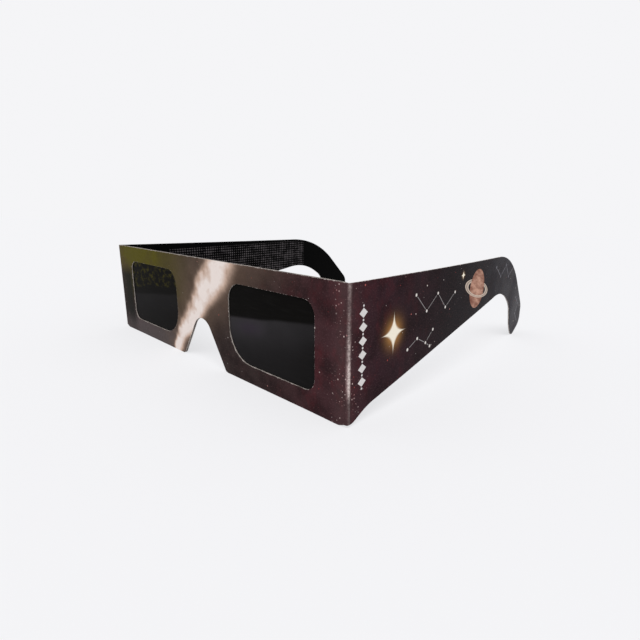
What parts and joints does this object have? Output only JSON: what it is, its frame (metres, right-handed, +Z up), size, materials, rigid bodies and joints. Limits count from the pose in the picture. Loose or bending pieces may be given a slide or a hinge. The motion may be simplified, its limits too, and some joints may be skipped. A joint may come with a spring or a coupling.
{
  "type": "eclipse glasses",
  "caption": "Card eclipse glasses: a flat front with a nose notch holds dark filter film behind its windows, and creased card temples fold back from it and end in ear hooks.",
  "frame": {"origin": "middle of the part, on the surface that it stands on", "axes": "+X across the front to the wearer's left, +Y back along the temples, away from the outside of the front, +Z up"},
  "size_m": [0.14, 0.1534, 0.0397],
  "materials": {
    "front_print": "gloss laminated print, dark maroon sky with a pale glow, black inside",
    "temple_print": "gloss laminated print, maroon running to black, black inside",
    "lining_card": "black, satin",
    "crease_card": "gloss laminated print, cracked and worn pale along the fold",
    "glue": "dry white glue",
    "filter_film": "smooth black film, nearly opaque"
  },
  "bodies": {
    "front_panel": {"front_card": "front_print", "back_card": "lining_card", "frame_glue": "glue", "left_filter": "filter_film", "right_filter": "filter_film", "left_crease": "crease_card", "right_crease": "crease_card"},
    "left_arm": {"left_temple": "temple_print"},
    "right_arm": {"right_temple": "temple_print"}
  },
  "joints": [
    {"name": "left_temple_fold", "type": "hinge", "parent": "front_panel", "child": "left_arm", "pos_m": [0.06926, -0.07441, 0.00003], "axis": [0, -0.0413, 0.9991], "range_deg": [-92.3, 19.5], "deforming": ["left_crease"]},
    {"name": "right_temple_fold", "type": "hinge", "parent": "front_panel", "child": "right_arm", "pos_m": [-0.06926, -0.07441, 0.00003], "axis": [0, 0.0413, -0.9991], "range_deg": [-93.5, 24.5], "deforming": ["right_crease"]}
  ]
}
